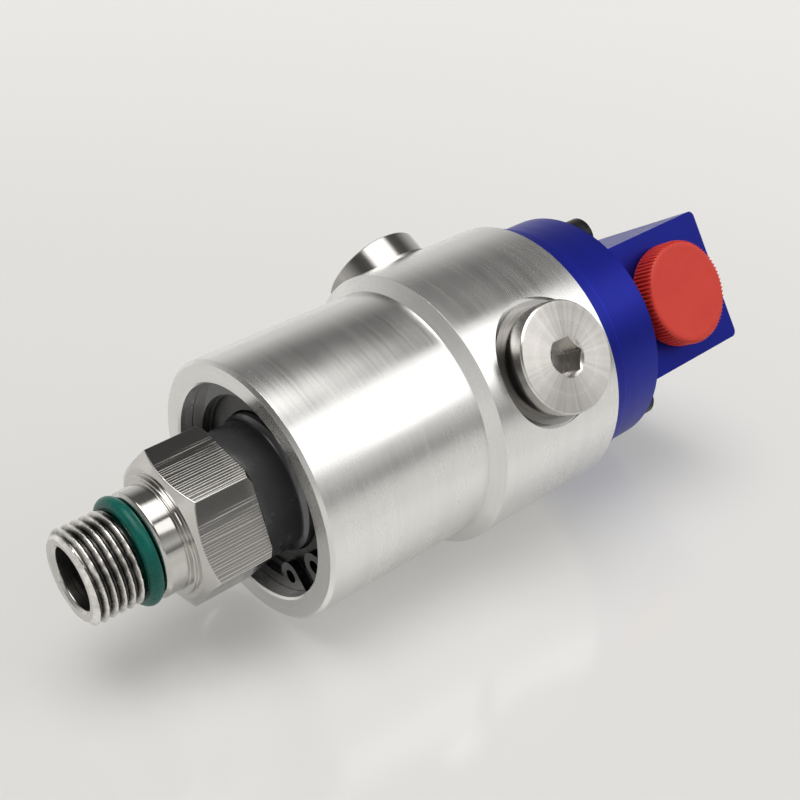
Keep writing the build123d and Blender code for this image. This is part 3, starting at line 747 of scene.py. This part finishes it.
class UNION_OT_rotor(bpy.types.Operator):
    """Threaded hollow rotor with its milled hexagon"""

    bl_idname = "union.rotor"
    bl_label = "Rotor"

    def execute(self, context):
        sizes = context.scene.union_rotor
        tints = context.scene.union_finish
        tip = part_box("rotor")[0].x
        turned = turned_metal("rotor_turned", tints.steel, 0.1, rings=2000.0, depth=0.0006 * MM, wear=0.15)
        milled = milled_metal("rotor_milled", tints.steel, 0.15, sizes.hex_turn, sizes.crown)
        bored = bored_metal("rotor_bored", tints.steel)
        cut = threaded_metal("rotor_thread", tints.steel, sizes.crest_radius - sizes.depth,
                             sizes.crest_radius, tip, sizes.lead)
        materials = [turned, milled, bored, cut]
        build = merged_copy("rotor")
        mark_flats(build, materials.index(milled))
        break_edges(build, sizes.edge)
        # Painted shade: the bore's wall behind its mouth gets the darker bored finish.
        mark_bore(build, sizes.bore_radius, tip + sizes.lead, materials.index(bored))
        narrow_nose(build, tip, tip + sizes.threaded, sizes.core_radius)
        thread = run_tree(thread_tree(), {
            "Start": tip, "Length": sizes.threaded, "Pitch": sizes.pitch, "Depth": sizes.depth,
            "Crest Radius": sizes.crest_radius, "Lead Radius": sizes.lead_radius, "Lead": sizes.lead,
            "Inner Radius": sizes.core_radius, "Material": cut})
        thread.polygons.foreach_set("material_index", [materials.index(cut)] * len(thread.polygons))
        build.from_mesh(thread)
        bpy.data.meshes.remove(thread)
        close_sleeve(build)
        piece = piece_from(build, "rotor_threaded", "rotor", materials)
        turn_normals(piece.data, (materials.index(turned), materials.index(bored)))
        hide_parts("rotor")
        return {"FINISHED"}


class UNION_OT_rotor_fittings(bpy.types.Operator):
    """Nose ring, collar and snap ring on the rotor"""

    bl_idname = "union.rotor_fittings"
    bl_label = "Rotor fittings"

    def execute(self, context):
        tints = context.scene.union_finish
        dress(rubber("nose_ring_rubber", tints.nose_ring, 0.3), "nose_o_ring")
        dress(gloss_black("collar_black", tints.dark), "rotor_collar")
        dress(dark_metal("rotor_clip_steel", tints.dark, 0.3), "rotor_snap_ring")
        return {"FINISHED"}


# Barrel and what it holds


def edged_piece(node, name, body, material, width):
    """Copy of a CAD node with broken edges, in its place."""
    build = merged_copy(node)
    break_edges(build, width)
    piece = piece_from(build, name, body, [material])
    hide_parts(node)


def mark_pocket(build, mount_name, radius, material_index):
    """Faces inside a port's spot-faced pocket get a material of their own."""
    to_port = port_matrix(mount_name).inverted()
    lowest = -3 * MM
    for face in build.faces:
        spot = to_port @ face.calc_center_median()
        if math.hypot(spot.x, spot.y) < radius and spot.z > lowest:
            face.material_index = material_index


class UNION_OT_barrel(bpy.types.Operator):
    """Turned barrel with its dust shield and snap ring"""

    bl_idname = "union.barrel"
    bl_label = "Barrel"

    def execute(self, context):
        tints = context.scene.union_finish
        pocket_radius = context.scene.union_plugs.pocket_radius
        edge = 0.12 * MM
        turned = turned_metal("barrel_turned", tints.aluminium, 0.25, rings=1900.0, depth=0.0015 * MM)
        # Painted shade: the faces in the drain plugs' pockets get the aluminium at 0.75 of its tint, darker
        # as in a recess.
        pocket = turned_metal("barrel_pocket_painted_shade", shade(tints.aluminium, 0.75)[:3], 0.24, wear=0.3)
        materials = [turned, pocket]
        build = merged_copy("barrel")
        for side in ("front", "back"):
            mark_pocket(build, f"drain_port_{side}", pocket_radius, materials.index(pocket))
        break_edges(build, edge)
        barrel = piece_from(build, "edged_barrel", "housing", materials)
        turn_normals(barrel.data, (materials.index(turned),))
        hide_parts("barrel")
        dress(dark_metal("shield_steel", (0.07, 0.07, 0.07), 0.42, 0.6), "dust_shield")
        clip = dark_metal("clip_steel", tints.dark, 0.2, oil=0.8)
        edged_piece("front_snap_ring", "edged_snap_ring", "housing", clip, edge)
        return {"FINISHED"}


class UNION_OT_bearings(bpy.types.Operator):
    """Bearings, spacers and spring washer"""

    bl_idname = "union.bearings"
    bl_label = "Bearings"

    def execute(self, context):
        ground = turned_metal("ground_steel", (0.62, 0.62, 0.63), 0.14, rings=5000.0)
        dress(ground, *[f"{end}_bearing_{part}" for end in ("front", "rear")
                        for part in ("outer_race", "inner_race", "balls")])
        brass = turned_metal("cage_brass", (0.66, 0.47, 0.2), 0.3)
        dress(brass, "front_bearing_cage", "rear_bearing_cage")
        tints = context.scene.union_finish
        dress(turned_metal("spacer_aluminium", tints.aluminium, 0.3), "bearing_outer_spacer")
        dress(turned_metal("spacer_steel", tints.steel, 0.25), "bearing_inner_spacer")
        dress(dark_metal("washer_spring_steel", (0.1, 0.1, 0.1), 0.3), "bearing_spring_washer")
        return {"FINISHED"}


class UNION_OT_seal(bpy.types.Operator):
    """Face seal, its carrier, spring, pins and rubber rings"""

    bl_idname = "union.seal"
    bl_label = "Face seal"

    def execute(self, context):
        tints = context.scene.union_finish
        carbide = dark_metal("seal_face", (0.13, 0.13, 0.14), 0.15, 0.1)
        dress(carbide, "rotating_seal_ring", "stationary_seal_ring")
        dress(turned_metal("carrier_steel", tints.steel, 0.22), "seal_carrier", "anti_rotation_pins")
        wire = dark_metal("spring_wire", (0.4, 0.4, 0.4), 0.25, 0.1)
        coil = piece_from(merged_copy("seal_spring"), "coiled_seal_spring", "housing", [wire], smooth=60.0)
        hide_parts("seal_spring")
        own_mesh(coil)
        dress(rubber("seal_rubber", tints.dark), "carrier_o_ring", "end_cap_o_ring")
        return {"FINISHED"}


def mark_side(build, out, material_index):
    """Faces that stand along a direction get a material of their own."""
    most_lean = 0.1
    for face in build.faces:
        if abs(face.normal.dot(out)) < most_lean:
            face.material_index = material_index


class UNION_OT_drain_plugs(bpy.types.Operator):
    """Screw plugs and washers in the drain ports"""

    bl_idname = "union.drain_plugs"
    bl_label = "Drain plugs"

    def execute(self, context):
        tints = context.scene.union_finish
        edge = 0.08 * MM
        for side in ("front", "back"):
            port = f"drain_port_{side}"
            faced = faced_metal(f"{side}_plug_faced", tints.plug, 0.24, tints.fan_turn, *pattern_place(port))
            # Painted shade: the plugs' side walls get the plug steel at 0.6 of its tint, darker as down in
            # the pocket.
            painted_shade_wall = turned_metal(f"{side}_plug_shaded_side", shade(tints.plug, 0.6)[:3], 0.16, wear=0.3)
            materials = [faced, painted_shade_wall]
            build = merged_copy(f"{side}_drain_plug")
            mark_side(build, port_matrix(port).col[2].xyz, materials.index(painted_shade_wall))
            break_edges(build, edge)
            plug = piece_from(build, f"edged_{side}_plug", "housing", materials)
            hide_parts(f"{side}_drain_plug")
        dress(turned_metal("port_washer", (0.4, 0.39, 0.38), 0.3), "front_plug_washer", "back_plug_washer")
        return {"FINISHED"}


# End cap


class UNION_OT_end_cap(bpy.types.Operator):
    """Blue anodised end cap with its port block and black screws"""

    bl_idname = "union.end_cap"
    bl_label = "End cap"

    def execute(self, context):
        tints = context.scene.union_finish
        sizes = context.scene.union_cap
        # The end cap's finish has a painted highlight along the rim's rear edge.
        dress(anodised_metal("end_cap_anodised", tints.anodised, sizes.rim_place, sizes.rim_highlight_half_width), "end_cap")
        dress(dark_metal("screw_black", tints.dark, 0.38), "end_cap_screws")
        return {"FINISHED"}


# Protective cap


def ridge_tree():
    """Rounded ridges standing round a rim about the local Z axis."""
    tree, given, out = new_group(
        "rim_ridges", "GeometryNodeTree",
        [("Count", "NodeSocketInt", 76), ("Rim Radius", FLOAT, 0.01), ("Ridge Radius", FLOAT, 0.0003),
         ("Ridge Length", FLOAT, 0.004), ("Base", FLOAT, 0.0), ("Material", "NodeSocketMaterial", None)],
        [("Geometry", "NodeSocketGeometry")])
    top = calculate(tree, "ADD", given["Base"], given["Ridge Length"])
    ends = {"Start": place_from(tree, z=given["Base"]), "End": place_from(tree, z=top)}
    line = add(tree, "GeometryNodeCurvePrimitiveLine", ends)
    rows = add(tree, "GeometryNodeResampleCurve", {"Curve": line.outputs[0], "Count": 7})
    share = add(tree, "GeometryNodeSplineParameter").outputs["Factor"]
    near_end = calculate(tree, "PINGPONG", share, 0.5)
    rounded_share = 0.12
    least_width = 0.05
    rise = remap(tree, near_end, 0.0, rounded_share, least_width, 1.0)
    fullness = calculate(tree, "POWER", rise, 0.5)
    thick = add(tree, "GeometryNodeSetCurveRadius", {"Curve": rows.outputs[0], "Radius": fullness})
    round_section = {"Resolution": 8, "Radius": given["Ridge Radius"]}
    section = add(tree, "GeometryNodeCurvePrimitiveCircle", round_section)
    ridge = add(tree, "GeometryNodeCurveToMesh",
                {"Curve": thick.outputs[0], "Profile Curve": section.outputs[0], "Fill Caps": True,
                 "Scale": fullness})
    rim = add(tree, "GeometryNodeMeshCircle", {"Vertices": given["Count"], "Radius": given["Rim Radius"]})
    ring = add(tree, "GeometryNodeInstanceOnPoints", {"Points": rim.outputs[0], "Instance": ridge.outputs[0]})
    real = add(tree, "GeometryNodeRealizeInstances", {"Geometry": ring.outputs[0]})
    ready = add(tree, "GeometryNodeSetMaterial", {"Geometry": real.outputs[0], "Material": given["Material"]})
    tree.links.new(ready.outputs[0], out.inputs[0])
    return tree


def spun(build, outline, steps=128):
    """Solid of revolution about the local Z axis from (radius, height) corners."""
    rows = []
    for radius, height in outline:
        row = []
        for step in range(steps):
            angle = 2 * math.pi * step / steps
            row.append(build.verts.new((radius * math.cos(angle), radius * math.sin(angle), height)))
        rows.append(row)
    for lower, upper in zip(rows, rows[1:]):
        for step in range(steps):
            after = (step + 1) % steps
            build.faces.new((lower[step], lower[after], upper[after], upper[step]))
    build.faces.new(list(reversed(rows[0])))
    build.faces.new(rows[-1])


def cap_outline(sizes):
    """Outline of the cap from inside its hollow stem, round the rim, to the dished face."""
    inner = sizes.stem_radius - sizes.stem_wall
    stem = sizes.stem_radius
    rim = sizes.rim_radius
    top = sizes.head_height
    edge = sizes.edge_radius
    seat = 0.02 * MM
    foot = 0.3 * MM
    dish = 0.12 * MM
    dish_border = 2.1 * MM
    dish_slope = 0.6 * MM
    centre_hole = 0.4 * MM
    outline = [(inner, seat), (inner, -sizes.stem_length), (stem, -sizes.stem_length),
               (stem, seat), (rim - foot, seat), (rim, foot)]
    edge_steps = 6
    for step in range(edge_steps + 1):
        turn = math.radians(90 * step / edge_steps)
        outline.append((rim - edge + edge * math.cos(turn), top - edge + edge * math.sin(turn)))
    outline += [(rim - dish_border + dish_slope, top - dish / 4), (rim - dish_border, top - dish),
                (centre_hole, top - dish)]
    return outline


class UNION_OT_dust_cap(bpy.types.Operator):
    """Red protective cap with a ridged rim"""

    bl_idname = "union.dust_cap"
    bl_label = "Protective cap"

    def execute(self, context):
        sizes = context.scene.union_cap
        plastic = waxy_plastic("cap_plastic", context.scene.union_finish.cap, pattern_place("supply_port"),
                               sizes.rim_radius, sizes.head_height)
        build = bmesh.new()
        spun(build, cap_outline(sizes))
        ridges = run_tree(ridge_tree(), {
            "Count": sizes.ridges, "Rim Radius": sizes.rim_radius - 0.05 * MM,
            "Ridge Radius": sizes.ridge_radius, "Ridge Length": sizes.ridge_length,
            "Base": 0.2 * MM, "Material": plastic})
        build.from_mesh(ridges)
        bpy.data.meshes.remove(ridges)
        bmesh.ops.recalc_face_normals(build, faces=build.faces)
        bmesh.ops.transform(build, matrix=port_matrix("supply_port"), verts=build.verts)
        piece = piece_from(build, "ridged_dust_cap", "dust_cap", [plastic], smooth=45.0)
        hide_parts("dust_cap")
        return {"FINISHED"}


# Stage


def area_lamp(name, place, target, size, power, tint):
    """Soft square lamp that points at a target."""
    lamp = bpy.data.lights.new(name, "AREA")
    lamp.shape = "SQUARE"
    lamp.size = size
    lamp.energy = power
    lamp.color = tint
    stand = bpy.data.objects.new(name, lamp)
    stand.location = place
    stand.rotation_euler = (Vector(target) - Vector(place)).to_track_quat("-Z", "Y").to_euler()
    show(stand)


def studio_world(settings):
    """Pale walls low down, a darker room above them and a bright ceiling."""
    world = bpy.data.worlds.new("studio")
    world.use_nodes = True
    tree = world.node_tree
    towards = parts_of(tree, add(tree, "ShaderNodeTexCoord").outputs["Generated"])
    wall_top = (0.2, 0.6)
    ceiling_rim = (0.86, 0.97)
    camera_side = (-0.1, -0.5)
    shade_top = (0.05, 0.25)
    wall = remap(tree, towards["Z"], *wall_top, settings.walls, settings.upper)
    ceiling = remap(tree, towards["Z"], *ceiling_rim, 0.0, settings.ceiling)
    behind = remap(tree, towards["Y"], *camera_side, 0.0, settings.shade)
    low = remap(tree, towards["Z"], *shade_top, 1.0, 0.0)
    shaded = calculate(tree, "SUBTRACT", calculate(tree, "ADD", wall, ceiling),
                       calculate(tree, "MULTIPLY", behind, low))
    background = tree.nodes["Background"]
    background.inputs["Color"].default_value = (1.0, 0.99, 0.97, 1.0)
    tree.links.new(shaded, background.inputs["Strength"])
    return world


def make_camera():
    """Camera at the photograph's place."""
    data = bpy.data.cameras.new("camera")
    data.sensor_fit = "HORIZONTAL"
    data.sensor_width = 36.0
    data.lens = CAMERA_LENS
    data.clip_start = 0.01
    camera = bpy.data.objects.new("camera", data)
    forward = CAMERA_FORWARD.normalized()
    right = forward.cross(CAMERA_UP).normalized()
    up = right.cross(forward)
    turn = Matrix((right, up, -forward)).transposed().to_4x4()
    camera.matrix_world = Matrix.Translation(CAMERA_PLACE) @ turn
    show(camera)
    bpy.context.scene.camera = camera


def make_floor(tint, glow):
    """Wide glossy table under the barrel's two rims, lit a little from below."""
    slope = (FLOOR_BACK - FLOOR_FRONT).normalized()
    up = slope.cross(Vector((0, 1, 0))).normalized()
    up = up if up.z > 0 else -up
    clearance = 0.02 * MM
    middle = FLOOR_FRONT - up * clearance
    side = Vector((0, 1, 0))
    mesh = bpy.data.meshes.new("floor")
    reach = 3.0
    corners = [middle + slope * reach * a + side * reach * b for a, b in ((-1, -1), (1, -1), (1, 1), (-1, 1))]
    mesh.from_pydata(corners, [], [(0, 1, 2, 3)])
    finish = Finish("floor_gloss", tint, 0.0, 0.16)
    worn = finish.effect("handling", Size=5.0)
    finish.tinted(worn["Smudge"], 0.98, 1.0)
    finish.rough(worn["Smudge"], 0.1, 0.16)
    finish.shader.inputs["Emission Color"].default_value = (1.0, 0.985, 0.955, 1.0)
    finish.shader.inputs["Emission Strength"].default_value = glow
    mesh.materials.append(finish.material)
    floor = bpy.data.objects.new("floor", mesh)
    show(floor)


class UNION_OT_stage(bpy.types.Operator):
    """Pale floor, soft light and the camera"""

    bl_idname = "union.stage"
    bl_label = "Stage"

    def execute(self, context):
        settings = context.scene.union_stage
        scene = context.scene
        scene.view_settings.view_transform = "Standard"
        scene.world = studio_world(settings)
        place = (0.47, -0.43, 0.5)
        part_middle = (0.045, 0.0, 0.0)
        size = 0.5
        daylight = (1.0, 0.995, 0.98)
        area_lamp("window", place, part_middle, size, settings.window, daylight)
        make_floor(settings.floor, settings.glow)
        make_camera()
        return {"FINISHED"}


class UNION_PT_panel(bpy.types.Panel):
    """Buttons that dress each group of pieces"""

    bl_label = "Rotary union"
    bl_idname = "UNION_PT_panel"
    bl_space_type = "VIEW_3D"
    bl_region_type = "UI"
    bl_category = "Rotary union"

    def draw(self, context):
        for operator in OPERATORS:
            self.layout.operator(operator.bl_idname)
        for settings in SETTINGS:
            box = self.layout.box()
            for name in getattr(context.scene, settings).bl_rna.properties.keys():
                if name not in ("rna_type", "name"):
                    box.prop(getattr(context.scene, settings), name)


OPERATORS = (UNION_OT_rotor, UNION_OT_rotor_fittings, UNION_OT_barrel, UNION_OT_bearings, UNION_OT_seal,
             UNION_OT_drain_plugs, UNION_OT_end_cap, UNION_OT_dust_cap, UNION_OT_stage)
SETTINGS = {"union_rotor": UnionRotorSettings, "union_seal": UnionSealSettings,
            "union_plugs": UnionPlugSettings, "union_cap": UnionCapSettings,
            "union_finish": UnionFinishSettings, "union_stage": UnionStageSettings}


def register():
    """Adds the settings, the operators and the panel to Blender."""
    for name, settings in SETTINGS.items():
        bpy.utils.register_class(settings)
        setattr(bpy.types.Scene, name, PointerProperty(type=settings))
    for operator in OPERATORS:
        bpy.utils.register_class(operator)
    bpy.utils.register_class(UNION_PT_panel)


def unregister():
    """Removes what register adds."""
    bpy.utils.unregister_class(UNION_PT_panel)
    for operator in reversed(OPERATORS):
        bpy.utils.unregister_class(operator)
    for name, settings in SETTINGS.items():
        delattr(bpy.types.Scene, name)
        bpy.utils.unregister_class(settings)


def main():
    """Registers everything and dresses the pieces in order."""
    register()
    turned_marks_group()
    depth_mask_group()
    pale_edge_band_group()
    painted_sheen_fan_group()
    milled_lines_group()
    handling_group()
    bpy.ops.union.rotor()
    bpy.ops.union.rotor_fittings()
    bpy.ops.union.barrel()
    bpy.ops.union.bearings()
    bpy.ops.union.seal()
    bpy.ops.union.drain_plugs()
    bpy.ops.union.end_cap()
    bpy.ops.union.dust_cap()
    bpy.ops.union.stage()


if __name__ == "__main__":
    main()
